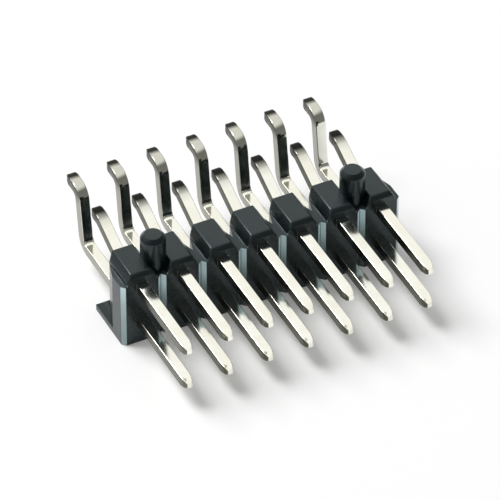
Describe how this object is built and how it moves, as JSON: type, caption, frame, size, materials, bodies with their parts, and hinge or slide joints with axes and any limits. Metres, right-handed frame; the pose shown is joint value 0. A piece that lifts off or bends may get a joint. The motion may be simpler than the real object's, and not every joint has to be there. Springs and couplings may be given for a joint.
{
  "type": "pin header strip",
  "caption": "Right-angle surface-mount pin header strip: square pins bent to solder feet, held in a notched black moulding with round locating pegs.",
  "frame": {"origin": "centre of the strip's footprint, in the plane of the flat pick-up face that it lies on", "axes": "+X along the strip, -Y the way the mating pins point, +Z from the pick-up face to the board side"},
  "size_m": [0.0178, 0.0156, 0.0066],
  "materials": {
    "housing": "satin black moulded thermoplastic with a cold grey-green cast",
    "pin_metal": "bright plated wire, pale silver with a faint champagne tint"
  },
  "bodies": {
    "root": {"body": "housing", "far_pin_1": "pin_metal", "far_pin_2": "pin_metal", "far_pin_3": "pin_metal", "far_pin_4": "pin_metal", "far_pin_5": "pin_metal", "far_pin_6": "pin_metal", "far_pin_7": "pin_metal", "near_pin_1": "pin_metal", "near_pin_2": "pin_metal", "near_pin_3": "pin_metal", "near_pin_4": "pin_metal", "near_pin_5": "pin_metal", "near_pin_6": "pin_metal", "near_pin_7": "pin_metal"}
  },
  "joints": []
}
